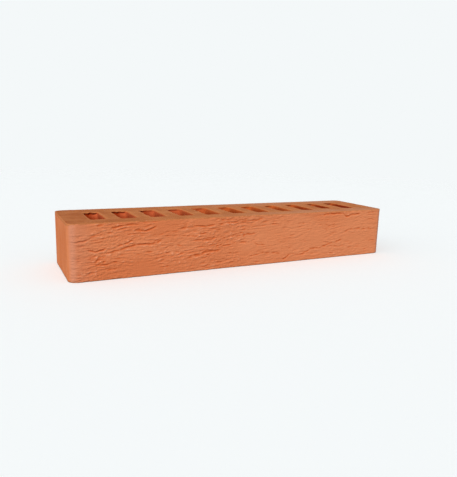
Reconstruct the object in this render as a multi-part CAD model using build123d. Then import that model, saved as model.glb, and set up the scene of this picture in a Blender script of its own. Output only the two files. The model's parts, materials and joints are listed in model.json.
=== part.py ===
from build123d import *
import os

# Long-format facing brick of fired clay, lying on its lower bed face.
# Millimetres. X runs along the brick, Y from the textured stretcher face to the plain back, Z up.
# The origin is the centre of the lower bed face.
# The clay column leaves the die along Z, so the slots run straight through in Z, every upright
# corner carries the die's rounding, and both bed faces are cut flat by the wire.

# Overall size
BRICK_LENGTH = 360.0
BRICK_WIDTH = 85.0
BRICK_HEIGHT = 53.0
UPRIGHT_EDGE_RADIUS = 8.0

# One row of slots, between solid walls along both stretcher faces and at both ends
STRETCHER_WALL = 20.5
END_WALL = 25.0
SLOT_COUNT = 11
SLOT_WIDTH = 14.0
SLOT_CORNER_RADIUS = 3.0

SLOT_LENGTH = BRICK_WIDTH - 2 * STRETCHER_WALL
ROW_LENGTH = BRICK_LENGTH - 2 * END_WALL
SLOT_PITCH = (ROW_LENGTH - SLOT_WIDTH) / (SLOT_COUNT - 1)


def column_outline():
    """Outline of the clay column: a rectangle with the die's rounded corners."""
    return RectangleRounded(BRICK_LENGTH, BRICK_WIDTH, UPRIGHT_EDGE_RADIUS)


def slot_row():
    """The openings that the die's cores leave, side by side along the brick."""
    slot = RectangleRounded(SLOT_WIDTH, SLOT_LENGTH, SLOT_CORNER_RADIUS)
    return GridLocations(SLOT_PITCH, 0, SLOT_COUNT, 1) * slot


def clay_brick():
    """The brick as one piece: the cored column, cut to height by the wire."""
    section = column_outline() - slot_row()
    return extrude(section, BRICK_HEIGHT)


os.makedirs("parts", exist_ok=True)
export_step(clay_brick(), "parts/clay_brick.step")
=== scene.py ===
import json
import math
from functools import cached_property

import bpy
import numpy as np
from mathutils import Matrix, Vector
from mathutils.geometry import delaunay_2d_cdt


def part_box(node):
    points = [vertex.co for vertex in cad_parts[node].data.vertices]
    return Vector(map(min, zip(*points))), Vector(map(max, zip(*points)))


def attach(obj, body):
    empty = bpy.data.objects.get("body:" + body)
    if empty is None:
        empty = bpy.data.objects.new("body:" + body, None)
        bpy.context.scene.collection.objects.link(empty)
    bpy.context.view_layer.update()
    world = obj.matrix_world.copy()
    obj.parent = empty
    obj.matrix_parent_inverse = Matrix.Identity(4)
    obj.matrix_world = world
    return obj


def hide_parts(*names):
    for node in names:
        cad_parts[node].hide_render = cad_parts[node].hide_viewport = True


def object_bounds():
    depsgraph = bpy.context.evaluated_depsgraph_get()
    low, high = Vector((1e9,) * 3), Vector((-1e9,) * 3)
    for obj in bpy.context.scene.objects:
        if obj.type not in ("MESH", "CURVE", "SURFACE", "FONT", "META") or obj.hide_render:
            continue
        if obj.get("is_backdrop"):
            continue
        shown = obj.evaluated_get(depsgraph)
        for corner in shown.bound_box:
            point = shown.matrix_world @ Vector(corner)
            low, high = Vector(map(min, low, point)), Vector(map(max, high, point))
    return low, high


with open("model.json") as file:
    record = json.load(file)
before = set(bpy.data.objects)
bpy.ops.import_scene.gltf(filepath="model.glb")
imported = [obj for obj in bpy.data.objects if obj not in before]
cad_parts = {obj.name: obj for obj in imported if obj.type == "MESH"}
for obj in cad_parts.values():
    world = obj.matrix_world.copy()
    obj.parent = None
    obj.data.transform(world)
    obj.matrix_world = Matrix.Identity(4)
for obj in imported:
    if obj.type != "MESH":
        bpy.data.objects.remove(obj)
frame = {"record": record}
cad_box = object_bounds()

# A long-format facing brick of fired clay. The shape is worked out in millimetres, in the frame's
# axes, and turned into metres for the mesh and the camera.
MM = 0.001
low, high = [np.array(corner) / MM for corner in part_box("clay_brick")]
LENGTH, WIDTH, HEIGHT = high - low

# The die's rounded upright edges, with a painted sheen on them: degrees round from the header to
# the middle of the sheen, and its reach.
EDGE_RADIUS = 8.0
SHEEN_MIDDLE = 58.0
SHEEN_REACH = 27.0

# The arrises that the cutting wire leaves: radius, how much it varies and over what length, the
# height beside each bed that the arris takes, and its steps
ARRIS_RADIUS = 0.45
ARRIS_SPREAD = 0.3
ARRIS_CHANGE = 7
ARRIS_ZONE = 1.0
ARRIS_STEPS = 4

# Slots: their middles come from the stated openings
SLOT_WIDTH = 14.0
SLOT_LENGTH = 44.0
SLOT_CORNER = 3.0
SLOT_MIDDLES = [
    (opening["box_m"][0][0] + opening["box_m"][1][0]) / 2 / MM
    for opening in frame["record"]["physics"]["openings"]
]

# The slots' mouths: rows of points this far from each bed, how ragged the edge is, the side that
# the wire tears open, and the side that it leaves last and drags a lip over, with a hollow below
MOUTH_ROWS = (1.5, 2.2, 2.8, 4.0, 6.0, 10.0)
RAGGED = 0.45
RAGGED_DEPTH = 2.5
FLARE_WAY = (-0.94, -0.35)
FLARE_DEPTH = 4
DRAG_WAY = (-0.35, 0.94)
LIP_REACH = 0.9
LIP_DEPTH = 0.9
HOLLOW_REACH = 1.3
HOLLOW_PLACE = 1.9
HOLLOW_DEPTH = 1.3

# The mouths' rounding: where none is named, what the left side adds, how much it varies, what a
# large lip adds and the most that there is. A lip is large from the last value on.
MOUTH_ROUND = 0.5
LEFT_ROUND = 0.5
ROUND_SPREAD = 0.2
LIP_ROUND = 2.2
MOST_ROUND = 2.2
LARGE_LIP = 0.6

# A flap of clay pushed over a slot's near end: where it starts and is whole, from the slot's
# middle, over what length it varies and how deep it hangs. Then the streaks that the cores leave.
FLAP_ZONE = (6, 21)
FLAP_CHANGE = 5
FLAP_DEPTH = 3.5
CORE_STREAK = 0.12

# Slot by slot: how far the mouth is torn open, how far its side towards the right and its far end
# are rounded over, how much lip hangs over it, how far clay was pushed over its near end, and how
# much painted shade lies on its wall in its far left corner and all round
SLOT_FLARES = (1.2, 2.7, 3.2, 2.5, 3.2, 2.1, 3.3, 1.5, 1.2, 0.6, 2.5)
SLOT_ROUNDS = (1.5, 1.5, 1.6, 1.2, 1.2, 1.3, 1.4, 1.4, 1.2, 1.2, 1.1)
SLOT_FAR_ROUNDS = (0.6, 0.4, 0.6, 1.3, 0.6, 0.5, 1.3, 1.8, 1.2, 1.1, 0.6)
SLOT_LIPS = (1.4, 1.3, 0.9, 0.6, 0.6, 0.6, 0.6, 0.6, 0.7, 0.9, 0.9)
SLOT_FLAPS = (0, 0, 0, 0, 0, 0, 0, 0, 0, 5.0, 0)
SLOT_CORNER_SHADES = (0.8, 0.6, 0.7, 0.3, 0.1, 0.0, 0.0, 0.0, 0.0, 0.0, 0.1)
SLOT_SHADES = (0.1, 0.0, 0.0, 0.0, 0.0, 0.1, 0.1, 0.1, 0.45, 0.7, 0.85)

# Where that corner's painted shade starts and is whole, to the left and to the far end of the slot's
# middle, the same for the painted highlight at the far right corner, and the right side's painted
# shade towards the near end
SHADE_ZONE = ((-3, 6), (0, 20))
SLOT_HIGHLIGHT_ZONE = ((-2, 5), (12, 21))
SLOT_HIGHLIGHT_SHARE = 0.5
RIGHT_SHADE_ZONE = (-16, -4)
RIGHT_SHADE = 0.15

# The shade in the hollow under a large lip, and its reach up and down
UNDER_LIP_SHADE = 1.3
UNDER_LIP_REACH = 1.0

# The smooth sides: upright streaks from the die and slight waves, each with its height and span,
# and the level that they vary about
STREAK_HEIGHT = 0.09
STREAK_SPAN = (4, 90)
SKIN_WAVE_HEIGHT = 0.12
SKIN_WAVE_SPAN = (34, 30)
SKIN_LEVEL = -0.08

# The wire-cut beds: swells, and drag lines across the brick that bow about a middle. The low bed
# is flat wherever they would stand out further than this.
SWELL_HEIGHT = 0.12
SWELL_SPAN = (45, 38)
DRAG_HEIGHT = 0.08
DRAG_SPAN = (3.2, 40)
DRAG_BOW = 0.003
DRAG_MIDDLE = 12
LOW_BED_FLAT = 0.06

# Mesh spacing, and the margin, the scatter and the distance from a mouth of a bed's own points
BARK_STEP = 0.95
BARK_ROW = 0.33
PLAIN_STEP = 1.5
PLAIN_ROWS = 16
CORNER_STEPS = 8
SLOT_STEPS = (20, 5, 20, 5)
SLOT_CORNER_STEPS = 4
BED_STEP = 2.6
BED_MARGIN = 3
BED_SCATTER = 0.6
MOUTH_GAP = 1.2

# The bark: its mean level, how far before the flat face it sets in, and its low waves
BARK_LEVEL = -0.15
BARK_START = (-8.5, -4.5)
WAVE_HEIGHT = 0.3
WAVE_SPAN = (70, 24)

# Its folds: length, gap and height, those of the finer ones, how much they rise to the right, how
# they swing, stretch and change in strength, and how each round of them shoves the next one up
FOLD_LENGTH = 13
FOLD_GAP = 3.6
FOLD_HEIGHT = 0.75
FINE_FOLD_SHARE = 2.1
FINE_FOLD_GAP = 1.7
FINE_FOLD_HEIGHT = 0.32
FOLD_RISE = 0.07
FOLD_SWING = 1.5
SWING_SPAN = (36, 20)
STRETCH_SPAN = (30, 9)
STRENGTH_SPAN = (26, 13)
FOLD_ROUNDS = 3
FOLD_SHOVE = 1.3
FOLD_SHARE = 0.92

# A fissure's section, for a depth and a width of 1: a lip above its line, the drop at it, the way
# back up, a low rim and the painted shade at its step. Then its ends, its wander, and how it varies
# along its course.
TEAR_LIP = 0.45
TEAR_LIP_REACH = 1.2
TEAR_LIP_EDGE = 0.4
TEAR_DROP = (-0.5, 0.8)
TEAR_RETURN = 0.9
TEAR_RIM = 0.4
TEAR_RIM_PLACE = -2.3
TEAR_SHADE_PLACE = -0.25
TEAR_REACH = 0.8
TEAR_ENDS = 3.5
TEAR_WANDER = (0.3, 0.45)
WANDER_LENGTH = 5
TEAR_MEAN = 0.85
TEAR_SPREAD = 0.65
SPREAD_LENGTH = 3.0

# Small fissures, scattered: how many, their width, where their middles lie (x, z), and the ranges
# of half length, depth and bend, and mean and spread of their rise to the right
SMALL_FISSURES = 170
SMALL_WIDTH = 0.75
SMALL_X = (-172, 172)
SMALL_Z = (1.5, 51.5)
SMALL_HALF = (5, 15)
SMALL_DEPTH = (0.08, 0.26)
SMALL_BEND = (-0.8, 0.8)
SMALL_RISE = (0.08, 0.06)

# The depth of a larger fissure whose stated depth is 1, and the share of it that is the same in
# lively and quiet places
FISSURE_DEPTH = 0.52
STEADY_SHARE = 0.3

# How strongly the bark is torn along the brick: (x, share)
LIVELY = [
    (-172, 0.85), (-160, 1.05), (-152, 1.22), (-135, 1.0), (-108, 0.84), (-75, 0.86), (-60, 0.92),
    (-42, 1.1), (-20, 0.98), (-6, 0.92), (12, 0.7), (50, 0.62), (78, 0.52), (95, 0.74), (118, 0.76),
    (142, 0.54),
]

# Crumbs that the tearing leaves standing: height, span, the level that they rise above, how they
# are scattered, and where they crowd: middle (x, z), half length and half height
CRUMB_HEIGHT = 0.85
CRUMB_SPAN = (2.5, 1.7)
CRUMB_LEVEL = 0.1
SCATTER_SHARE = 0.5
SCATTER_SPAN = (22, 10)
CRUMB_PATCHES = [
    (-128, 34, 10, 5), (-150, 18, 10, 5), (-160, 45, 12, 4), (-92, 21, 8, 6), (-77, 14, 9, 5),
    (-39, 25, 10, 6), (-55, 36, 10, 4), (-14, 32, 9, 5), (-20, 47, 14, 4), (44, 6, 8, 3),
    (-164, 8, 12, 5), (-106, 46, 8, 4), (110, 6, 14, 4), (150, 40, 12, 4),
]

# The share of the tearing that calm patches take away, and where they lie
CALM_SHARE = 0.8
CALM_PATCHES = [
    (-110, 7, 13, 7), (-166, 47, 11, 5), (-91, 47.5, 11, 5), (-52, 49.5, 10, 4), (-5, 17, 9, 6),
    (20, 34, 12, 8), (84, 23, 9, 10), (140, 21, 16, 5), (130, 38, 10, 5),
]

# The larger fissures of the bark: depth, how wide the tear is, and its course along the face (x, z)
FISSURES = [
    (0.9, 1, [(-180, 36.5), (-175, 37), (-170, 37.5), (-165.5, 38), (-160, 40.5), (-157, 41.5),
        (-152, 42.5), (-149, 43.5)]),
    (0.6, 1, [(-148, 43.5), (-145, 43.5), (-141, 44)]),
    (0.9, 0.9, [(-156, 51), (-150, 51), (-146, 51.5)]),
    (1, 1, [(-143, 48), (-138, 49), (-134, 49.5), (-127, 50.5), (-119, 51.5)]),
    (0.7, 0.9, [(-140, 46.5), (-135, 46.5), (-131, 47.5), (-127, 48)]),
    (0.6, 1, [(-180, 35), (-176, 34.5), (-171.5, 33.5), (-168, 33.5), (-162, 33.5)]),
    (0.5, 1, [(-180, 27.5), (-171, 28), (-165, 28)]),
    (1, 1, [(-164, 29.5), (-159.5, 28.5), (-156, 27.5), (-152.5, 28.5), (-149.5, 29), (-146.5, 30.5)]),
    (0.6, 0.8, [(-168, 31), (-160, 30.5), (-156.5, 29.5), (-151, 29.5)]),
    (0.5, 0.8, [(-147, 28.5), (-142, 28.5)]),
    (1.15, 1.1, [(-148, 25), (-145, 25.5), (-142, 26), (-139, 27), (-135, 27.5), (-131.5, 28.5),
        (-128, 30), (-124, 30.5), (-119, 31.5), (-113, 31.5), (-106, 31.5), (-100, 32), (-97, 33.5),
        (-94, 35.5)]),
    (0.6, 1, [(-93, 37), (-87, 38), (-80, 38), (-73, 37)]),
    (0.9, 0.9, [(-76, 37.5), (-71, 37), (-67, 36.5), (-58.5, 36), (-55, 35.5)]),
    (1.2, 0.8, [(-137.5, 31), (-134, 32), (-131, 33), (-128, 33.5), (-126, 34.5), (-124, 35.5),
        (-120, 35)]),
    (1.2, 0.8, [(-132, 30), (-129.5, 31), (-127, 33)]),
    (1.8, 0.9, [(-158, 17), (-156.5, 18.5), (-155, 19.5), (-152, 20)]),
    (1.5, 0.8, [(-151.5, 17), (-149, 18), (-147, 19)]),
    (1.2, 0.9, [(-159, 14), (-152, 15), (-147.5, 15), (-144, 16), (-140, 17), (-135.5, 16.5)]),
    (0.5, 1.1, [(-172, 13), (-164, 12.5), (-158, 13.5)]),
    (0.6, 0.9, [(-170, 22.5), (-164, 22.5), (-160, 22.5), (-155, 23.5)]),
    (0.5, 0.8, [(-180, 24), (-169, 23.5)]),
    (0.5, 0.8, [(-180, 10), (-169, 9.5)]),
    (0.6, 0.8, [(-180, 7), (-168, 7.5)]),
    (0.5, 0.8, [(-180, 4), (-167, 4.5)]),
    (0.5, 1, [(-148, 9), (-141, 10), (-135, 11)]),
    (0.4, 1.4, [(-136, 22.5), (-127, 23.5), (-120, 23)]),
    (1.2, 1.1, [(-122, 46), (-116, 45), (-112, 44), (-108, 44.5), (-105, 45.5), (-102, 47),
        (-98.5, 48.5)]),
    (0.8, 0.9, [(-111.5, 48), (-107, 48.5), (-103, 50)]),
    (0.5, 1, [(-114, 52), (-106, 52), (-97, 52)]),
    (0.6, 0.8, [(-104.5, 38.5), (-102, 39.5), (-98.5, 41.5)]),
    (0.5, 1, [(-98, 39), (-92, 41.5), (-87, 42), (-79.5, 42.5)]),
    (0.5, 0.8, [(-105, 33.5), (-100, 34.5), (-95.5, 36.5)]),
    (0.8, 1, [(-80.5, 43), (-76, 44.5), (-72, 45), (-64.5, 45)]),
    (0.4, 0.9, [(-121, 22), (-113, 22), (-104, 19.5), (-97, 20.5), (-89, 19)]),
    (0.7, 0.9, [(-79, 19), (-75, 19.5), (-71, 19.5)]),
    (0.5, 1, [(-104, 16), (-95.5, 17.5), (-88.5, 16.5), (-79, 17)]),
    (0.8, 1.1, [(-72.5, 15), (-65, 15.5), (-62, 17)]),
    (0.6, 1, [(-97.5, 8), (-89, 8), (-83, 8.5)]),
    (0.4, 0.9, [(-97, 13), (-87, 13)]),
    (0.6, 1, [(-80, 28.5), (-71, 27), (-62.5, 27.5)]),
    (0.4, 0.8, [(-97.5, 23.5), (-92.5, 25.5), (-88.5, 26.5)]),
    (0.5, 1.5, [(-111.5, 24), (-102.5, 23.5)]),
    (0.5, 0.9, [(-65, 40.5), (-57, 40.5)]),
    (0.5, 0.8, [(-82, 34.5), (-76.5, 33.5)]),
    (0.4, 0.9, [(-80, 8.5), (-74, 8.5)]),
    (1.1, 1, [(-63.5, 45.5), (-60, 46), (-54, 45.5), (-49, 45), (-45, 45.5), (-38, 46.5)]),
    (0.6, 0.8, [(-40, 51.5), (-33, 52)]),
    (0.6, 0.8, [(-39.5, 48), (-34, 49)]),
    (0.9, 1.2, [(-35.5, 46), (-30, 47.5), (-26, 48), (-20, 48), (-14, 47.5), (-8.5, 47.5), (0.5, 48),
        (5, 48.5), (10, 49), (16.5, 50)]),
    (0.5, 1.2, [(-34, 50), (-20.5, 50.5), (-10, 49.5), (-2, 50)]),
    (1.1, 0.9, [(-57, 38), (-52, 38), (-47, 39)]),
    (0.7, 0.9, [(-61.5, 31), (-55.5, 32), (-50.5, 32.5), (-46.5, 31.5), (-41.5, 31)]),
    (1, 0.9, [(-49, 34), (-43, 32.5), (-35, 33)]),
    (0.6, 0.8, [(-37, 34.5), (-30, 34)]),
    (1.1, 0.9, [(-32, 31.5), (-25.5, 32.5)]),
    (0.5, 1.4, [(-40, 29.5), (-28, 29.5)]),
    (1.3, 0.8, [(-43.5, 25), (-39, 25)]),
    (1.3, 0.8, [(-39, 23.5), (-35.5, 24.5), (-33, 25.5), (-28.5, 27)]),
    (0.6, 0.9, [(-29.5, 24), (-24.5, 24.5), (-19, 24.5)]),
    (1.2, 1.6, [(-63, 17), (-57, 17.5), (-53.5, 18), (-50.5, 19.5), (-47, 20), (-42, 20), (-36.5, 20),
        (-30, 21)]),
    (0.9, 0.9, [(-55, 15), (-51.5, 13), (-49, 14), (-47, 16), (-42.5, 17.5)]),
    (0.5, 0.9, [(-56, 8), (-46, 8)]),
    (0.5, 1, [(-40, 7.5), (-34, 8), (-29, 7.5)]),
    (0.6, 1.5, [(-25, 16.5), (-20, 16), (-15.5, 16), (-10, 15.5)]),
    (0.5, 0.8, [(-16, 13), (-9.5, 13)]),
    (0.9, 1, [(-22.5, 33), (-17, 35), (-13, 35.5), (-8.5, 36), (-6, 35), (-5.5, 33), (-6.5, 29.5)]),
    (0.8, 0.9, [(-4.5, 35), (2, 36)]),
    (0.4, 1.5, [(-13, 40), (-2, 40.5)]),
    (0.6, 0.9, [(-11.5, 9.5), (-3, 9)]),
    (0.4, 1.1, [(-21, 5.5), (-9.5, 6)]),
    (0.4, 1, [(-11, 26.5), (1, 26)]),
    (0.5, 1, [(5, 52), (11, 52), (19, 51)]),
    (0.7, 0.8, [(11, 45.5), (16, 45.5), (21.5, 45.5)]),
    (0.8, 1.1, [(25, 44), (32, 43.5), (40, 43)]),
    (0.5, 0.8, [(39, 39.5), (47.5, 39.5)]),
    (0.5, 0.8, [(38, 36), (47.5, 36)]),
    (0.5, 1, [(-1, 32), (6, 33)]),
    (0.5, 0.9, [(1, 35), (8, 35)]),
    (0.6, 1, [(4.5, 25.5), (7.5, 24), (11, 22.5), (15, 22.5), (21.5, 21)]),
    (0.6, 2, [(7.5, 16), (15, 15.5), (19, 14), (24, 13.5), (29, 13), (34, 12), (41, 11)]),
    (0.4, 0.8, [(17.5, 18), (27.5, 16.5)]),
    (0.5, 1.4, [(32, 23.5), (40.5, 23), (47, 22.5)]),
    (0.5, 1, [(48, 29), (58, 31)]),
    (0.5, 1.2, [(47.5, 14.5), (53, 17)]),
    (0.5, 0.8, [(38, 15.5), (48, 15.5)]),
    (0.5, 0.7, [(38, 7.5), (41, 7)]),
    (0.9, 1.2, [(39.5, 2.5), (45, 5.5), (49, 8), (52, 9), (55, 9.5), (60, 8.5)]),
    (0.6, 1.1, [(0, 8), (8, 8)]),
    (0.5, 1, [(6, 3.5), (18, 5)]),
    (0.6, 0.8, [(86.5, 50), (90, 50)]),
    (1.7, 1.3, [(92.5, 50.5), (99, 51), (104, 51), (107.5, 51), (111, 51.5), (117.5, 51.5), (121.5, 51),
        (123, 49.5), (125, 48), (127, 47.5), (130, 48), (133.5, 49.5), (139.5, 49.5), (147, 50)]),
    (0.6, 1.1, [(146, 51.5), (156, 51), (164.5, 51), (173, 51)]),
    (0.5, 1, [(67, 35.5), (74.5, 35.5), (81, 35.5)]),
    (1, 0.9, [(99.5, 37), (105.5, 38), (111.5, 40.5)]),
    (0.5, 0.9, [(94, 33.5), (101.5, 33)]),
    (0.4, 1, [(98.5, 30), (114, 29.5)]),
    (0.9, 1.3, [(59, 8), (66.5, 8), (70.5, 9.5), (74, 10.5), (77.5, 12.5), (80.5, 13.5), (85.5, 13.5),
        (91, 13), (95.5, 14.5), (99, 15.5), (104, 17), (107.5, 18), (112.5, 18.5), (115.5, 19.5),
        (122, 20.5)]),
    (0.8, 1, [(105, 14), (112.5, 13.5), (117.5, 13), (121.5, 14), (126, 12.5)]),
    (0.5, 1, [(63.5, 5.5), (70.5, 6)]),
    (0.4, 1, [(71, 7), (79.5, 7.5), (91, 7.5)]),
    (0.5, 0.9, [(91, 21.5), (96.5, 19.5), (104.5, 20)]),
    (0.4, 1.2, [(58, 42), (69.5, 42.5), (80, 42)]),
    (0.4, 0.9, [(86, 39.5), (94, 39)]),
    (0.7, 1.5, [(123, 29.5), (128.5, 31.5), (133, 32.5), (139.5, 32.5), (145, 32.5), (152, 32),
        (159.5, 31.5), (164.5, 31), (173, 32)]),
    (0.6, 1.3, [(151, 41), (158.5, 42.5), (164.5, 42.5), (173, 41.5)]),
    (0.4, 1, [(134, 42), (143.5, 45)]),
    (0.4, 1, [(136, 36), (147.5, 36.5)]),
    (1, 0.8, [(160, 16.5), (167, 17), (173, 17)]),
    (0.5, 1.1, [(128, 10.5), (136, 11), (141.5, 12), (149.5, 10)]),
    (1.5, 0.7, [(153.5, 7), (156.5, 6.5), (159, 7.5)]),
    (1.4, 0.7, [(158.5, 8), (162, 8)]),
    (0.5, 0.9, [(154, 4), (161, 3.5)]),
    (0.4, 1, [(125, 19), (134, 18)]),
    (0.4, 1.1, [(146, 47), (156, 48), (173, 47.5)]),
]

# Seeds of the noises and of the scattering
SCATTER_SEED = 7
WAVE_SEED = 11
SWING_SEED = 21
STRETCH_SEED = 31
STRENGTH_SEED = 35
FOLD_SEED = 41
FINE_FOLD_SEED = 51
STREAK_SEED = 61
SKIN_WAVE_SEED = 71
ARRIS_SEED = 81
BED_SEEDS = (95, 91)
CORE_SEED = 101
RAGGED_SEED = 111
ROUND_SEED = 121
FLAP_SEED = 125
BED_POINT_SEED = 131
CRUMB_SEED = 141
CROWD_SEED = 145
FISSURE_SEED = 200
SMALL_SEED = 1000

# Painted shade that deepens the colour: the depth below the bark round about, over so many points,
# which also paints highlights where the bark stands higher, and the painted shade at fissures' steps
DEPTH_SHARE = 0.5
DEPTH_POINTS = 4
CREASE_SHADE_SHARE = 0.6

# Camera, where the photograph was taken from, for a picture of 457 x 477
IMAGE_HEIGHT = 477
CAMERA_PLACE = (-241.1, -470.6, 129.4)
CAMERA_AZIMUTH = -26.888
CAMERA_ELEVATION = 11.622
CAMERA_ROLL = 1.753
FOCAL_PIXELS = 485.34
SENSOR = 36.0

# The pale backdrop and floor, the studio's light, and what the floor throws back. The floor lies a
# little under the lower bed, so that their planes stay apart, and fades out.
PALE = (0.905, 0.939, 0.947, 1)
STUDIO_LIGHT = 0.44
FLOOR_GREY = (0.42, 0.42, 0.42, 1)
FLOOR_DROP = 0.1
FLOOR_RADIUS = 2400
FLOOR_SIDES = 96
FLOOR_FADE = (600, 1600)

SIDE, BED, SLOT = 0, 1, 2
PAINTED = ("cavity", "bark", "polish", "rough")


def smoothstep(value, start, end):
    """0 before start, 1 after end and a smooth ramp between them."""
    t = np.clip((value - start) / (end - start), 0, 1)
    return t * t * (3 - 2 * t)


def bell(off, reach):
    """1 where off is 0, falling smoothly to 0 within about twice the reach."""
    return np.exp(-(off / reach) ** 2)


def noise(u, v, seed, span=(1, 1)):
    """Gradient noise of about -1 to 1 that changes over about the span."""
    u, v = u / span[0], v / span[1]
    rng = np.random.RandomState(seed)
    order, angle = rng.permutation(256), rng.uniform(0, 2 * math.pi, 256)
    cell_u, cell_v = np.floor(u).astype(int), np.floor(v).astype(int)
    u, v = u - cell_u, v - cell_v

    def corner(du, dv):
        turn = angle[order[(order[(cell_u + du) & 255] + cell_v + dv) & 255]]
        return np.cos(turn) * (u - du) + np.sin(turn) * (v - dv)

    su, sv = smoothstep(u, 0, 1), smoothstep(v, 0, 1)
    near = corner(0, 0) * (1 - su) + corner(1, 0) * su
    far = corner(0, 1) * (1 - su) + corner(1, 1) * su
    return 1.5 * (near * (1 - sv) + far * sv)


def noise_along(s, seed, reach, row=0.5):
    """Noise along a line, one row of the noise over a plane."""
    return noise(s / reach, s * 0 + row, seed)


def layered_noise(u, v, seed, layers, span=(1, 1), gain=0.5):
    """Noise summed over finer and finer layers."""
    u, v = u / span[0], v / span[1]
    total, size = 0, 1.0
    for layer in range(layers):
        total = total + size * noise(u * 2 ** layer, v * 2 ** layer, seed + layer)
        size *= gain
    return total


def blurred(grid, reach):
    """The grid smoothed over about reach points each way."""
    weights = np.exp(-0.5 * (np.arange(-2 * reach, 2 * reach + 1) / reach) ** 2)
    weights /= weights.sum()
    for _ in range(2):
        padded = np.pad(grid, [(2 * reach, 2 * reach), (0, 0)], mode="edge")
        grid = sum(w * padded[i:i + len(grid)] for i, w in enumerate(weights)).T
    return grid


def course(points, step=0.6):
    """A smooth line through the points, sampled every step."""
    points = np.array(points, float)
    padded = np.vstack([2 * points[0] - points[1], points, 2 * points[-1] - points[-2]])
    samples = []
    for a, b, c, d in zip(padded, padded[1:], padded[2:], padded[3:]):
        t = np.arange(0, 1, step / max(np.linalg.norm(c - b), step))[:, None]
        samples.append(0.5 * (2 * b + (c - a) * t + (2 * a - 5 * b + 4 * c - d) * t ** 2
                              + (3 * b - a - 3 * c + d) * t ** 3))
    return np.vstack(samples + [points[-1:]])


def tear_section(above):
    """A fissure's section over the distance above its line: its height and its painted shade."""
    lip = TEAR_LIP * np.exp(-np.maximum(above, 0) / TEAR_LIP_REACH)
    lip = lip * smoothstep(above, -TEAR_LIP_EDGE, TEAR_LIP_EDGE)
    way_back = np.exp(-np.maximum(-above - TEAR_DROP[1], 0) / TEAR_RETURN)
    recess = smoothstep(-above, *TEAR_DROP) * way_back
    rim = TEAR_RIM * bell(above - TEAR_RIM_PLACE, TEAR_REACH)
    return lip + rim - recess, bell(above - TEAR_SHADE_PLACE, TEAR_REACH)


def add_fissure(relief, crease_shade, x, z, depth, points, seed, width):
    """Cuts one torn fissure into the relief.

    crease_shade gathers the painted shade that darkens each fissure at its step, where shade falls.
    """
    reach = 5 + 4 * width
    line = course(points)
    length = np.r_[0, np.cumsum(np.linalg.norm(np.diff(line, axis=0), axis=1))]
    wander = np.column_stack([noise_along(length, seed, WANDER_LENGTH, row) for row in (0.5, 7.5)])
    line = line + wander * TEAR_WANDER
    chosen = np.where(
        (x > line[:, 0].min() - reach) & (x < line[:, 0].max() + reach)
        & (z > line[:, 1].min() - reach) & (z < line[:, 1].max() + reach)
    )
    spots = np.column_stack([x[chosen], z[chosen]])
    away = spots[:, None, :] - line[None, :, :]
    nearest = np.argmin((away ** 2).sum(axis=2), axis=1)
    away = away[np.arange(len(spots)), nearest]
    tangent = np.gradient(line, axis=0)
    tangent /= np.linalg.norm(tangent, axis=1)[:, None]
    tangent = tangent[nearest]
    above = tangent[:, 0] * away[:, 1] - tangent[:, 1] * away[:, 0]
    beyond = np.abs((tangent * away).sum(axis=1))
    along = length[nearest]
    fade = np.minimum(smoothstep(along, 0, TEAR_ENDS), smoothstep(length[-1] - along, 0, TEAR_ENDS))
    uneven = TEAR_MEAN + TEAR_SPREAD * noise_along(along, seed + 1, SPREAD_LENGTH, 3.5)
    strength = depth * fade * uneven * np.exp(-beyond)
    height, shaded = tear_section(above / width)
    relief[chosen] += strength * height
    crease_shade[chosen] += strength * shaded


def torn_folds(x, z):
    """Fine folds that run along the brick and rise a little to the right."""
    lean = z - FOLD_RISE * x + FOLD_SWING * layered_noise(x, z, SWING_SEED, 2, SWING_SPAN)
    stretched = x / FOLD_LENGTH + 0.5 * noise(x, z, STRETCH_SEED, STRETCH_SPAN)
    folds = 1 - np.abs(layered_noise(stretched, lean / FOLD_GAP, FOLD_SEED, 2, gain=0.55))
    fine = layered_noise(stretched * FINE_FOLD_SHARE, lean / FINE_FOLD_GAP, FINE_FOLD_SEED, 2)
    strength = 0.7 + 0.5 * noise(x, z, STRENGTH_SEED, STRENGTH_SPAN)
    return strength * (FOLD_HEIGHT * (folds - 0.7) + FINE_FOLD_HEIGHT * fine)


def within(places, x, z):
    """1 inside the patches, with a soft edge to 0 outside them."""
    share = 0
    for middle_x, middle_z, half_x, half_z in places:
        off = ((x - middle_x) / half_x) ** 2 + ((z - middle_z) / half_z) ** 2
        share = share + np.exp(-off ** 2)
    return np.clip(share, 0, 1)


def crumbs(x, z):
    """Small crumbs of clay that the tearing leaves standing, crowded in patches."""
    grains = np.maximum(layered_noise(x, z, CRUMB_SEED, 2, CRUMB_SPAN) - CRUMB_LEVEL, 0)
    scattered = SCATTER_SHARE * smoothstep(noise(x, z, CROWD_SEED, SCATTER_SPAN), -0.3, 0.4)
    return CRUMB_HEIGHT * (grains * np.maximum(scattered, within(CRUMB_PATCHES, x, z)))


def scattered_fissures():
    """The small fissures: the middle of each, four points of its course and its depth."""
    rng = np.random.RandomState(SCATTER_SEED)
    for _ in range(SMALL_FISSURES):
        middle = rng.uniform(*SMALL_X), rng.uniform(*SMALL_Z)
        half, rise, bend = rng.uniform(*SMALL_HALF), rng.normal(*SMALL_RISE), rng.uniform(*SMALL_BEND)
        points = [
            (middle[0] + t * half, middle[1] + t * half * rise + bend * (1 - t * t))
            for t in (-1, -0.35, 0.35, 1)
        ]
        yield middle, points, rng.uniform(*SMALL_DEPTH)


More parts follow.
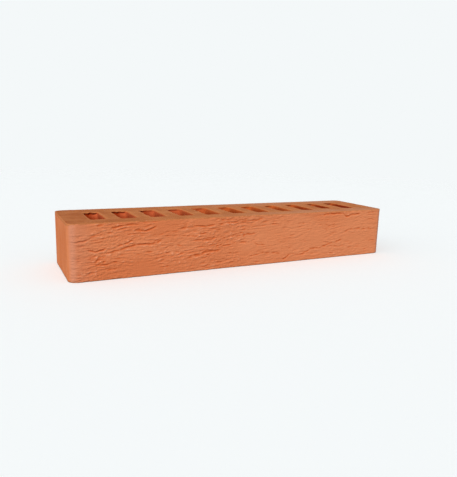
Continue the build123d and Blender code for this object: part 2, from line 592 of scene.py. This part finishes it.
def bark_relief(x, z):
    """The torn bark's height, the painted shade at its fissures and how strongly it is torn, over x and
    z.
    """
    lively = np.interp(x, *zip(*LIVELY))
    calm = 1 - CALM_SHARE * within(CALM_PATCHES, x, z)

    waves = WAVE_HEIGHT * layered_noise(x, z, WAVE_SEED, 2, WAVE_SPAN)
    folds = 0
    for _ in range(FOLD_ROUNDS):
        folds = torn_folds(x, z + FOLD_SHOVE * folds)
    relief = waves + calm * lively * (FOLD_SHARE * folds + crumbs(x, z))
    crease_shade = np.zeros_like(relief)

    for number, (middle, points, depth) in enumerate(scattered_fissures()):
        column = np.argmin(np.abs(x[0] - middle[0]))
        row = np.argmin(np.abs(z[:, 0] - middle[1]))
        depth *= calm[row, column] * lively[row, column]
        add_fissure(relief, crease_shade, x, z, depth, points, SMALL_SEED + 2 * number, SMALL_WIDTH)

    for number, (depth, width, points) in enumerate(FISSURES):
        column = np.argmin(np.abs(x[0] - points[len(points) // 2][0]))
        depth *= FISSURE_DEPTH * (STEADY_SHARE + (1 - STEADY_SHARE) * lively[0, column])
        add_fissure(relief, crease_shade, x, z, depth, points, FISSURE_SEED + 2 * number, width)
    return relief + BARK_LEVEL, crease_shade, calm * lively


def skin_relief(s, z):
    """Height of the smooth sides over the distance s along the outline and z up them."""
    streaks = STREAK_HEIGHT * layered_noise(s, z, STREAK_SEED, 3, STREAK_SPAN)
    waves = SKIN_WAVE_HEIGHT * noise(s, z, SKIN_WAVE_SEED, SKIN_WAVE_SPAN)
    return streaks + waves + SKIN_LEVEL


def bed_height(x, y, top):
    """Height of a wire-cut bed. The low bed lies flat, but for slight hollows."""
    seed = BED_SEEDS[top]
    swell = SWELL_HEIGHT * noise(x, y, seed, SWELL_SPAN)
    bow = DRAG_BOW * (y - DRAG_MIDDLE) ** 2
    drag = DRAG_HEIGHT * layered_noise(x + bow, y, seed + 1, 3, DRAG_SPAN, 0.6)
    return HEIGHT + swell + drag if top else np.maximum(LOW_BED_FLAT - swell - drag, 0)


def rounded_outline(size, radius, way, hand, counts, corner_steps):
    """Points round a rectangle with rounded corners, from the side that runs the way named.

    hand is 1 for anticlockwise and -1 for clockwise. Returns the places, directions outwards,
    distances along the outline, sides, which points are on a corner, and the whole length.
    """
    half = np.array(size) / 2
    way = np.array(way, float)
    arc = radius * math.pi / 2
    points, s = [], 0.0
    for side, count in enumerate(counts):
        outward = hand * np.array([way[1], -way[0]])
        run = 2 * (np.abs(way) @ half - radius)
        start = outward * (np.abs(outward) @ half) - way * run / 2
        for k in range(count + 1):
            points.append((start + way * run * k / count, outward, s + run * k / count, side, False))
        s += run
        hub = start + way * run - outward * radius
        for k in range(1, corner_steps):
            turn = math.pi / 2 * k / corner_steps
            around = outward * math.cos(turn) + way * math.sin(turn)
            points.append((hub + around * radius, around, s + arc * k / corner_steps, side, True))
        s += arc
        way = -outward
    return [np.array(part) for part in zip(*points)] + [s]


def wall_columns():
    """The brick's outline, anticlockwise from the textured face's left end.

    Each column has its place (x, y), its outward direction, the distance along the outline,
    whether it has the bark's fine rows, how far it belongs to the bark and how strongly the painted
    sheen lies on it.
    """
    run_x, run_y = LENGTH - 2 * EDGE_RADIUS, WIDTH - 2 * EDGE_RADIUS
    counts = [round(run_x / BARK_STEP)] + [round(run / PLAIN_STEP) for run in (run_y, run_x, run_y)]
    place, outward, along, side, corner, whole = rounded_outline(
        (LENGTH, WIDTH), EDGE_RADIUS, (1, 0), 1, counts, CORNER_STEPS
    )
    fine = (side == 0) | (corner & (side == 3))
    last_arc = along > whole - EDGE_RADIUS * math.pi / 2 - 1e-6
    along = np.where(last_arc, along - whole, along)
    bark = smoothstep(along, *BARK_START) * smoothstep(run_x - along, *BARK_START) * (along < whole / 2)
    turned = np.degrees(np.arctan2(np.abs(outward[:, 1]), np.abs(outward[:, 0])))
    return place, outward, along, fine, bark, bell(turned - SHEEN_MIDDLE, SHEEN_REACH)


class Shell:
    """Vertices, faces, materials and painted values of the one closed mesh."""

    def __init__(self):
        self.points, self.faces, self.materials = [], [], []
        self.painted = {name: [] for name in PAINTED}

    def add(self, places, z, **painted):
        """Adds points at places (x, y) with heights z and painted values. Returns their numbers."""
        first = sum(len(part) for part in self.points)
        count = len(places)
        self.points.append(np.column_stack([places, np.broadcast_to(z, (count,))]))
        for name, values in self.painted.items():
            values.append(np.broadcast_to(painted.get(name, 0.0), (count,)))
        return np.arange(first, first + count)

    def face(self, corners, material):
        self.faces.append(tuple(int(c) for c in corners))
        self.materials.append(material)

    def strip(self, lower, upper, material):
        """Quads between two closed rows with as many points."""
        for i in range(len(lower)):
            j = (i + 1) % len(lower)
            self.face((lower[i], lower[j], upper[j], upper[i]), material)

    def join_edges(self, left, right, material):
        """Triangles between two upright edges that may have different numbers of points."""
        i, j, last_i, last_j = 0, 0, len(left) - 1, len(right) - 1
        while i < last_i or j < last_j:
            if (i + 0.5) * last_j <= (j + 0.5) * last_i:
                self.face((left[i], right[j], left[i + 1]), material)
                i += 1
            else:
                self.face((left[i], right[j], right[j + 1]), material)
                j += 1

    def arris_row(self, previous, places, bed, short, top, material, **painted):
        """The next row of an arris, short of the bed's height, joined to the row before it."""
        current = self.add(places, bed - short if top else bed + short, **painted)
        lower, upper = (previous, current) if top else (current, previous)
        self.strip(lower, upper, material)
        return current


def arris_profile():
    """Steps round an arris as shares of its radius: how far in, and how far short of the bed."""
    turns = [math.pi / 2 * k / ARRIS_STEPS for k in range(1, ARRIS_STEPS + 1)]
    return [(1 - math.cos(t), 1 - math.sin(t)) for t in turns]


def build_walls(shell):
    """The four sides with their arrises. Returns the lower and the upper loop that the beds meet."""
    place, outward, along, fine, bark, sheen = wall_columns()
    run_x = LENGTH / 2 - EDGE_RADIUS
    low_z, high_z = ARRIS_ZONE, HEIGHT - ARRIS_ZONE
    per_row = round((high_z - low_z) / PLAIN_ROWS / BARK_ROW)
    fine_rows = np.linspace(low_z, high_z, PLAIN_ROWS * per_row + 1)

    # The bark is worked out over the whole height, arrises included
    levels = np.r_[0, fine_rows, HEIGHT]
    textured = np.where(bark > 0)[0]
    order = textured[np.argsort(along[textured])]
    torn, crease_shade, roughness = bark_relief(*np.meshgrid(along[order] - run_x, levels))
    relief = (1 - bark) * skin_relief(*np.meshgrid(along, levels))
    cavity, rough = np.zeros_like(relief), np.zeros_like(relief)
    relief[:, order] += bark[order] * torn
    rough[:, order] = bark[order] * roughness
    # Painted shade where the bark lies below the bark round about and at the fissures' steps, and a
    # painted highlight where it stands higher
    below = blurred(torn, DEPTH_POINTS) - torn
    cavity[:, order] = bark[order] * (DEPTH_SHARE * below + CREASE_SHADE_SHARE * crease_shade)

    def ring(level, inset):
        """Places of all columns at one level, moved by the relief and pulled in by inset."""
        return place + outward * (relief[level] - inset)[:, None]

    grid = -np.ones((len(fine_rows), len(place)), int)
    for row, z in enumerate(fine_rows):
        kept = np.where(fine | (row % per_row == 0))[0]
        grid[row, kept] = shell.add(
            ring(row + 1, 0)[kept], z, cavity=cavity[row + 1, kept], bark=bark[kept],
            polish=sheen[kept], rough=rough[row + 1, kept],
        )

    for i in range(len(place)):
        j = (i + 1) % len(place)
        if fine[i] and fine[j]:
            for row in range(len(fine_rows) - 1):
                shell.face((grid[row, i], grid[row, j], grid[row + 1, j], grid[row + 1, i]), SIDE)
            continue
        for row in range(0, len(fine_rows) - 1, per_row):
            left, right = [
                grid[row:row + per_row + 1:(1 if fine[column] else per_row), column]
                for column in (i, j)
            ]
            shell.join_edges(left, right, SIDE)

    varied = np.clip(noise_along(along, ARRIS_SEED, ARRIS_CHANGE), -0.9, 1)
    radius = ARRIS_RADIUS + ARRIS_SPREAD * varied
    loops = []
    for top in (False, True):
        loop = grid[-1] if top else grid[0]
        level = len(levels) - 1 if top else 0
        bed = bed_height(*place.T, top)
        for inset, short in arris_profile():
            loop = shell.arris_row(
                loop, ring(level, radius * inset), bed, radius * short, top, SIDE,
                cavity=cavity[level], bark=bark, polish=sheen, rough=rough[level],
            )
        loops.append(loop)
    return loops


def slot_shade(number, outline, into):
    """Painted shade on a slot's wall round its outline, and a painted highlight at its far right
    corner.
    """
    x, y = outline.T
    far_left = smoothstep(-x, *SHADE_ZONE[0]) * smoothstep(y, *SHADE_ZONE[1])
    far_right = smoothstep(x, *SLOT_HIGHLIGHT_ZONE[0]) * smoothstep(y, *SLOT_HIGHLIGHT_ZONE[1])
    right_side = np.clip(into[:, 0], 0, 1) * smoothstep(-y, *RIGHT_SHADE_ZONE)
    shade = SLOT_SHADES[number] + SLOT_CORNER_SHADES[number] * far_left
    return shade - SLOT_HIGHLIGHT_SHARE * far_right + RIGHT_SHADE * right_side


def mouth_radius(number, into, varied, large_lip, ragged):
    """How far a slot's mouth is rounded over, round its outline."""
    more = (SLOT_ROUNDS[number] - MOUTH_ROUND, SLOT_FAR_ROUNDS[number] - MOUTH_ROUND)
    radius = MOUTH_ROUND + np.clip(into, 0, 1) @ more
    radius = radius + np.clip(-into[:, 0], 0, 1) * LEFT_ROUND + ROUND_SPREAD * varied
    radius = radius + LIP_ROUND * large_lip * np.clip(0.4 + 1.5 * ragged, 0, 1.2)
    return np.minimum(radius, MOST_ROUND)


def build_slot(shell, number, middle):
    """One slot's wall, torn at both mouths. Returns its lower and upper mouth loops."""
    outline, into = rounded_outline(
        (SLOT_WIDTH, SLOT_LENGTH), SLOT_CORNER, (0, -1), -1, SLOT_STEPS, SLOT_CORNER_STEPS
    )[:2]
    turn = 2 * math.pi * np.arange(len(outline)) / len(outline)
    ring_u, ring_v = 3 * np.cos(turn), 3 * np.sin(turn)
    streaks = CORE_STREAK * layered_noise(ring_u * 1.6, ring_v * 1.6 + 9 * number, CORE_SEED, 2)
    dragged = SLOT_LIPS[number] * np.clip(into @ DRAG_WAY, 0, 1)
    large_lip = np.maximum(dragged - LARGE_LIP, 0)
    opened = SLOT_FLARES[number] * np.clip(into @ FLARE_WAY, 0, 1)
    x, y = outline.T
    flap_edge = 0.8 + 0.4 * noise_along(x + FLAP_CHANGE / 2, FLAP_SEED, FLAP_CHANGE)
    pushed = SLOT_FLAPS[number] * smoothstep(-y, *FLAP_ZONE) * flap_edge
    ragged = [
        layered_noise(
            ring_u * 1.1 + 5 * number, ring_v * 1.1 + 31 * top, RAGGED_SEED + number, 3, gain=0.6
        )
        for top in (0, 1)
    ]
    varied = noise(ring_u + 0.5, ring_v + 17 * number, ROUND_SEED)
    radius = mouth_radius(number, into, varied, large_lip, ragged[0])
    shade = slot_shade(number, outline, into)

    def ring(z, inset):
        """Places round the slot at one height, torn and dragged near the mouths."""
        out = streaks + inset
        for top, depth in ((0, z), (1, HEIGHT - z)):
            uneven = 0.7 + 0.8 * ragged[top]
            hollow = HOLLOW_DEPTH * bell(depth - HOLLOW_PLACE, HOLLOW_REACH)
            out = out + RAGGED * ragged[top] * bell(depth, RAGGED_DEPTH)
            out = out + opened * (1 + 0.25 * ragged[top]) * bell(depth, FLARE_DEPTH)
            out = out + dragged * uneven * (hollow - LIP_REACH * bell(depth, LIP_DEPTH))
        moved = outline + into * out[:, None] + (middle, 0)
        moved[:, 1] += pushed * bell(HEIGHT - z, FLAP_DEPTH)
        return moved

    depths = np.array(MOUTH_ROWS)
    rows = []
    for z in np.r_[depths, HEIGHT / 2, HEIGHT - depths[::-1]]:
        # Painted shade on the slot's wall, with more in the hollow under a large lip
        in_hollow = bell(min(z, HEIGHT - z) - HOLLOW_PLACE, UNDER_LIP_REACH)
        under_lip = UNDER_LIP_SHADE * large_lip * in_hollow
        rows.append(shell.add(ring(z, 0), z, cavity=shade + under_lip))
    for lower, upper in zip(rows, rows[1:]):
        shell.strip(lower, upper, SLOT)
    mouths = []
    for top in (False, True):
        loop = rows[-1] if top else rows[0]
        for inset, short in arris_profile():
            places = ring(HEIGHT if top else 0, radius * inset)
            bed = bed_height(*places.T, top)
            loop = shell.arris_row(
                loop, places, bed, radius * short, top, SLOT, cavity=shade, polish=1 - short
            )
        mouths.append(loop)
    return mouths


def inside(points, loop):
    """Which of the points lie inside the closed loop."""
    result = np.zeros(len(points), bool)
    for a, b in zip(loop, np.roll(loop, -1, axis=0)):
        crosses = (a[1] > points[:, 1]) != (b[1] > points[:, 1])
        rise = b[1] - a[1] if b[1] != a[1] else 1.0
        at = a[0] + (points[:, 1] - a[1]) / rise * (b[0] - a[0])
        result ^= crosses & (points[:, 0] < at)
    return result


def bed_points(rims, top):
    """Places for a bed's own points: a grid, a little scattered, that keeps clear of the mouths."""
    rng = np.random.RandomState(BED_POINT_SEED + top)
    x, y = [
        np.arange(-side / 2 + BED_MARGIN, side / 2 - BED_MARGIN + 1, BED_STEP)
        for side in (LENGTH, WIDTH)
    ]
    spots = np.stack(np.meshgrid(x, y), -1).reshape(-1, 2)
    spots += rng.uniform(-BED_SCATTER, BED_SCATTER, spots.shape)
    for rim in rims:
        gap = np.sqrt(((spots[:, None, :] - rim[None, :, :]) ** 2).sum(axis=2)).min(axis=1)
        spots = spots[(gap > MOUTH_GAP) & ~inside(spots, rim)]
    return spots


def build_bed(shell, outer, mouths, top):
    """A bed face between the outer loop and the slot mouths, with points of its own inside."""
    places = np.vstack(shell.points)[:, :2]
    rims = [places[mouth] for mouth in mouths]
    spots = bed_points(rims, top)
    inner = shell.add(spots, bed_height(*spots.T, top))

    loops = [outer] + list(mouths)
    numbers = np.concatenate(loops + [inner])
    flat = np.vstack([places, spots])[numbers]
    edges, start = [], 0
    for loop in loops:
        size = len(loop)
        edges += [(start + k, start + (k + 1) % size) for k in range(size)]
        start += size
    made = delaunay_2d_cdt([Vector(p) for p in flat], edges, [], 0, 1e-5)
    if len(made[0]) != len(flat):
        raise ValueError("the bed's outlines cross each other")
    triangles = np.array(made[2])
    middles = flat[triangles].mean(axis=1)
    keep = inside(middles, places[outer])
    for rim in rims:
        keep &= ~inside(middles, rim)
    for a, b, c in numbers[triangles[keep]]:
        shell.face((a, b, c) if top else (a, c, b), BED)


def new_object(name, data):
    """Puts a mesh, a lamp or the camera into the scene."""
    thing = bpy.data.objects.new(name, data)
    bpy.context.scene.collection.objects.link(thing)
    return thing


def build_brick():
    """The whole brick as one closed mesh."""
    shell = Shell()
    outer = build_walls(shell)
    mouths = [build_slot(shell, number, middle) for number, middle in enumerate(SLOT_MIDDLES)]
    for top in (0, 1):
        build_bed(shell, outer[top], [pair[top] for pair in mouths], top)

    mesh = bpy.data.meshes.new("brick_body")
    mesh.from_pydata(np.vstack(shell.points) * MM, [], shell.faces)
    for name, parts in shell.painted.items():
        values = mesh.attributes.new(name, "FLOAT", "POINT")
        values.data.foreach_set("value", np.concatenate(parts).astype(np.float32))
    mesh.polygons.foreach_set("material_index", shell.materials)
    mesh.polygons.foreach_set("use_smooth", [True] * len(shell.faces))
    mesh.validate()
    mesh.update()
    for material in (side_material(), bed_material(), slot_material()):
        mesh.materials.append(material)
    return new_object("brick_body", mesh)


class Nodes:
    """Short ways to add and join the nodes of a material or of the world."""

    def __init__(self, owner):
        owner.use_nodes = True
        self.owner, self.tree = owner, owner.node_tree
        self.tree.nodes.clear()

    def new(self, kind, inputs, **settings):
        """Adds a node. An input is another node's output, a number or a colour."""
        node = self.tree.nodes.new("ShaderNode" + kind)
        for name, setting in settings.items():
            setattr(node, name, setting)
        for name, value in inputs.items():
            if isinstance(value, bpy.types.NodeSocket):
                self.tree.links.new(value, node.inputs[name])
            else:
                node.inputs[name].default_value = value
        return node

    @cached_property
    def place(self):
        """The place on the object, in metres."""
        return self.new("TexCoord", {}).outputs["Object"]

    def grain(self, scale, stretch=(1, 1, 1), detail=3.0, rough=0.55):
        """Noise of about 0 to 1, with scale waves a metre, stretched along the axes."""
        mapping = self.new("Mapping", {"Vector": self.place, "Scale": stretch})
        return self.new("TexNoise", {
            "Vector": mapping.outputs["Vector"], "Scale": scale, "Detail": detail, "Roughness": rough,
        }).outputs["Fac"]

    def painted(self, name):
        return self.new("Attribute", {}, attribute_name=name).outputs["Fac"]

    def ranged(self, value, start, end, low=0.0, high=1.0):
        """The value's range from start to end, turned into low to high."""
        return self.new("MapRange", {
            "Value": value, "From Min": start, "From Max": end, "To Min": low, "To Max": high,
        }, interpolation_type="SMOOTHSTEP").outputs["Result"]

    def calculated(self, operation, *values):
        return self.new("Math", dict(enumerate(values)), operation=operation).outputs[0]

    def times(self, a, b):
        return self.calculated("MULTIPLY", a, b)

    def plus(self, a, b):
        return self.calculated("ADD", a, b)

    def blend(self, share, first, second, way="MIX"):
        """Mixes two colours."""
        inputs = {"Factor": share, 6: first, 7: second}
        return self.new("Mix", inputs, data_type="RGBA", blend_type=way).outputs[2]

    def place_on(self, axis):
        """The place on one of the brick's axes, in metres."""
        return self.new("SeparateXYZ", {0: self.place}).outputs[axis]

    def away_from_middle(self, axis, middle=0.0):
        """Distance in metres from a middle on one axis."""
        return self.calculated("ABSOLUTE", self.plus(self.place_on(axis), -middle))

    def from_bed(self):
        """Distance in metres from the nearer bed."""
        half = HEIGHT / 2 * MM
        return self.plus(self.times(self.away_from_middle("Z", half), -1.0), half)

    def seen(self):
        """1 for rays that reach the camera directly, in a gloss or through glass, else 0."""
        path = self.new("LightPath", {})
        total = path.outputs["Is Camera Ray"]
        for name in ("Is Glossy Ray", "Is Transmission Ray"):
            total = self.calculated("MAXIMUM", total, path.outputs[name])
        return total

    def either(self, share, first, second):
        """Mixes the shaders of two nodes."""
        return self.new("MixShader", {0: share, 1: first.outputs[0], 2: second.outputs[0]})

    def clay(self, base, height, depth, roughness):
        """Finishes a material: fired clay is matt, with a fine rough grain."""
        bump = self.new("Bump", {"Height": height, "Distance": depth, "Strength": 1.0})
        shader = self.new("BsdfPrincipled", {
            "Base Color": base, "Normal": bump.outputs["Normal"], "Roughness": roughness,
            "Specular IOR Level": 0.1,
        })
        self.new("OutputMaterial", {"Surface": shader.outputs["BSDF"]})
        return self.owner


def colour(*channels):
    """A colour given as 0 to 255 values, as the shader's linear one."""
    parts = [c / 255 for c in channels]
    return tuple(c / 12.92 if c <= 0.04045 else ((c + 0.055) / 1.055) ** 2.4 for c in parts) + (1.0,)


ORANGE = colour(212, 114, 62)
PINK = colour(221, 133, 85)
SHADE_TONE = colour(203, 89, 18)
LIT = colour(245, 170, 130)
EDGE_SHEEN = colour(204, 133, 101)
SKIN = colour(207, 116, 66)
SKIN_LIGHT = colour(217, 132, 84)
BROWN = colour(162, 90, 46)
BROWN_LIGHT = colour(183, 113, 66)
BROWN_PALE = colour(190, 134, 104)
INNER_LEFT = colour(198, 95, 54)
INNER_RIGHT = colour(196, 97, 42)
INNER_DARK = colour(152, 50, 9)


def side_colour(n, bark):
    """Mottled bark with painted shade and highlights, plain skin, a painted edge sheen, the cut by the
    beds.
    """
    mottled = n.ranged(n.grain(26, (0.4, 1, 1), 4), 0.42, 0.62, 0.0, 0.65)
    paler_way = n.ranged(n.place_on("X"), -0.13, 0.02, 0.0, 0.5)
    redder_patch = n.ranged(n.away_from_middle("X", 0.032), 0.008, 0.036, -0.25, 0.0)
    base = n.blend(n.plus(n.plus(mottled, paler_way), redder_patch), ORANGE, PINK)
    streaks = n.grain(330, (1, 1, 0.05))
    clouds = n.grain(70, (1, 1, 0.6))
    plain = n.blend(n.ranged(n.plus(streaks, clouds), 0.75, 1.25), SKIN, SKIN_LIGHT)
    base = n.blend(bark, plain, base)

    cavity = n.painted("cavity")
    # Painted shade in the fissures and hollows of the bark
    base = n.blend(n.ranged(cavity, 0.03, 0.3), base, SHADE_TONE)
    # Painted highlight on the raised bark
    base = n.blend(n.ranged(cavity, -0.03, -0.22, 0.0, 0.65), base, LIT)
    # Painted sheen on the rounded edges, spreading a little into the bark at the left end
    sheen_spread = n.ranged(n.place_on("X"), -0.177, -0.15, 0.45, 0.0)
    base = n.blend(sheen_spread, base, n.blend(bark, base, EDGE_SHEEN))
    base = n.blend(n.painted("polish"), base, EDGE_SHEEN)

    cut_reach = n.ranged(bark, 0.0, 1.0, 0.0026, 0.0009)
    ragged = n.times(n.plus(n.grain(260, (1, 1, 0.5)), -0.5), 0.003)
    cut = n.ranged(n.plus(n.from_bed(), ragged), n.times(cut_reach, 0.5), cut_reach, 1.0, 0.0)
    base = n.blend(n.times(cut, 0.8), base, BROWN_LIGHT)
    speckle = n.ranged(n.grain(1300, (1, 1, 1), 2), 0.3, 0.7, 0.93, 1.05)
    return n.blend(1.0, base, speckle, "MULTIPLY")


def side_material():
    """Torn bark on the long face, smooth die skin elsewhere, and a painted sheen on the rounded edges.
    """
    n = Nodes(bpy.data.materials.new("clay_side"))
    bark = n.painted("bark")
    fibres = n.grain(900, (0.12, 1, 1), 4, 0.6)
    upright = n.grain(900, (1, 1, 0.06), 3, 0.6)
    grain = n.grain(2600, (1, 1, 1), 3, 0.6)
    crumbled = n.plus(n.grain(470, (0.75, 1, 0.95), 2), -0.5)
    crumbled = n.times(crumbled, n.ranged(n.painted("rough"), 0.55, 1.15, 0.0, 2.7))
    height = n.plus(n.times(fibres, bark), n.times(upright, 0.35))
    height = n.plus(height, n.times(grain, 0.3))
    height = n.plus(height, crumbled)
    return n.clay(side_colour(n, bark), height, depth=0.00035, roughness=0.88)


def bed_material():
    """The wire-cut beds: browner, mottled and finely dragged."""
    n = Nodes(bpy.data.materials.new("clay_wire_cut"))
    mottled = n.ranged(n.grain(60, (0.8, 1, 1), 5), 0.4, 0.65, 0.0, 0.6)
    paler_way = n.ranged(n.place_on("X"), -0.165, -0.1, 0.0, 0.45)
    base = n.blend(n.plus(mottled, paler_way), BROWN, BROWN_LIGHT)
    uneven = n.times(n.plus(n.grain(45, (1, 1, 1), 4), -0.5), 0.05)
    beside_slots = n.ranged(n.plus(n.away_from_middle("Y"), uneven), 0.014, 0.034)
    greyer_way = n.ranged(n.place_on("X"), -0.08, 0.1, 0.0, 0.5)
    base = n.blend(n.times(beside_slots, greyer_way), base, BROWN_PALE)
    # The painted sheen of the rounded edges reaches onto the bed, with a paler rim round the slot
    # mouths
    base = n.blend(n.times(n.painted("polish"), 0.2), base, PINK)
    drag = n.grain(700, (1, 0.06, 1))
    base = n.blend(1.0, base, n.ranged(drag, 0.3, 0.7, 0.95, 1.04), "MULTIPLY")
    grain = n.grain(2200, (1, 1, 1), 3, 0.6)
    height = n.plus(n.times(drag, 0.6), n.times(grain, 0.5))
    return n.clay(base, height, depth=0.0003, roughness=0.9)


def slot_material():
    """The slots' walls: redder, with upright streaks from the cores and painted shade."""
    n = Nodes(bpy.data.materials.new("clay_slot"))
    streaks = n.times(n.plus(n.grain(420, (1, 1, 0.05)), -0.5), 0.8)
    # Painted shade, deeper away from the beds and where the slot's painted shading lies, with the
    # cores' streaks
    shade_and_streaks = n.plus(n.plus(n.ranged(n.from_bed(), 0.0005, 0.01), streaks), n.painted("cavity"))
    base = n.blend(n.ranged(n.place_on("X"), -0.08, 0.02), INNER_LEFT, INNER_RIGHT)
    base = n.blend(shade_and_streaks, base, INNER_DARK)
    base = n.blend(n.ranged(n.painted("polish"), 0.15, 0.7), base, BROWN_LIGHT)
    grain = n.grain(1800, (1, 1, 0.3), 3, 0.6)
    return n.clay(base, grain, depth=0.0003, roughness=0.9)


def floor_material():
    """Pale where it is seen, grey to the light that it throws back, and clear far out."""
    n = Nodes(bpy.data.materials.new("pale_floor"))
    shown = n.new("BsdfDiffuse", {"Color": PALE})
    bounced = n.new("BsdfDiffuse", {"Color": FLOOR_GREY})
    distance = n.new("VectorMath", {0: n.place}, operation="LENGTH")
    fade = n.ranged(distance.outputs["Value"], *[far * MM for far in FLOOR_FADE])
    faded = n.either(fade, n.either(n.seen(), bounced, shown), n.new("BsdfTransparent", {}))
    n.new("OutputMaterial", {"Surface": faded.outputs[0]})
    return n.owner


def build_floor():
    """A pale round floor that takes the brick's shadow and fades into the backdrop."""
    turns = np.linspace(0, 2 * math.pi, FLOOR_SIDES, endpoint=False)
    ring = [(FLOOR_RADIUS * math.cos(t), FLOOR_RADIUS * math.sin(t), -FLOOR_DROP) for t in turns]
    mesh = bpy.data.meshes.new("floor")
    mesh.from_pydata(np.array(ring) * MM, [], [tuple(range(FLOOR_SIDES))])
    mesh.materials.append(floor_material())
    new_object("floor", mesh)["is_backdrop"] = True


def build_world():
    """A grey studio all round, which the camera sees as the pale backdrop."""
    n = Nodes(bpy.data.worlds.new("studio"))
    bpy.context.scene.world = n.owner
    grey = n.new("Background", {"Color": (1, 1, 1, 1), "Strength": STUDIO_LIGHT})
    pale = n.new("Background", {"Color": PALE, "Strength": 1.0})
    n.new("OutputWorld", {"Surface": n.either(n.seen(), grey, pale).outputs[0]})


def direction(azimuth, elevation):
    """The way from the brick towards that azimuth and elevation, in degrees."""
    a, e = math.radians(azimuth), math.radians(elevation)
    return Vector((math.sin(a) * math.cos(e), -math.cos(a) * math.cos(e), math.sin(e)))


def add_lamp(name, azimuth, elevation, share, spread):
    """A soft lamp far away. share is the part of plain daylight that it gives a face turned to it."""
    lamp = bpy.data.lights.new(name, "SUN")
    lamp.energy = math.pi * share
    lamp.angle = math.radians(spread)
    thing = new_object(name, lamp)
    thing.location = direction(azimuth, elevation)
    thing.rotation_euler = thing.location.to_track_quat("Z", "Y").to_euler()


def build_camera():
    """The camera at the photograph's viewing angle."""
    back = direction(CAMERA_AZIMUTH, CAMERA_ELEVATION)
    right = (-back).cross(Vector((0, 0, 1))).normalized()
    up = back.cross(right)
    roll = math.radians(CAMERA_ROLL)
    across = math.cos(roll) * right + math.sin(roll) * up
    upward = -math.sin(roll) * right + math.cos(roll) * up
    data = bpy.data.cameras.new("camera")
    data.sensor_width = SENSOR
    data.lens = FOCAL_PIXELS / IMAGE_HEIGHT * SENSOR
    camera = new_object("camera", data)
    turned = Matrix((across, upward, back)).transposed().to_4x4()
    camera.matrix_world = Matrix.Translation(Vector(CAMERA_PLACE) * MM) @ turned
    bpy.context.scene.camera = camera


brick = build_brick()
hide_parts("clay_brick")
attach(brick, "root")

build_floor()
build_world()
add_lamp("key", azimuth=-35, elevation=41.5, share=0.79, spread=18)
add_lamp("side", azimuth=-80, elevation=15, share=0.165, spread=60)
build_camera()
bpy.context.scene.view_settings.view_transform = "Standard"

boxes = {"cad": cad_box, "visual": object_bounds()}
{name: [list(corner) for corner in box] for name, box in boxes.items()}
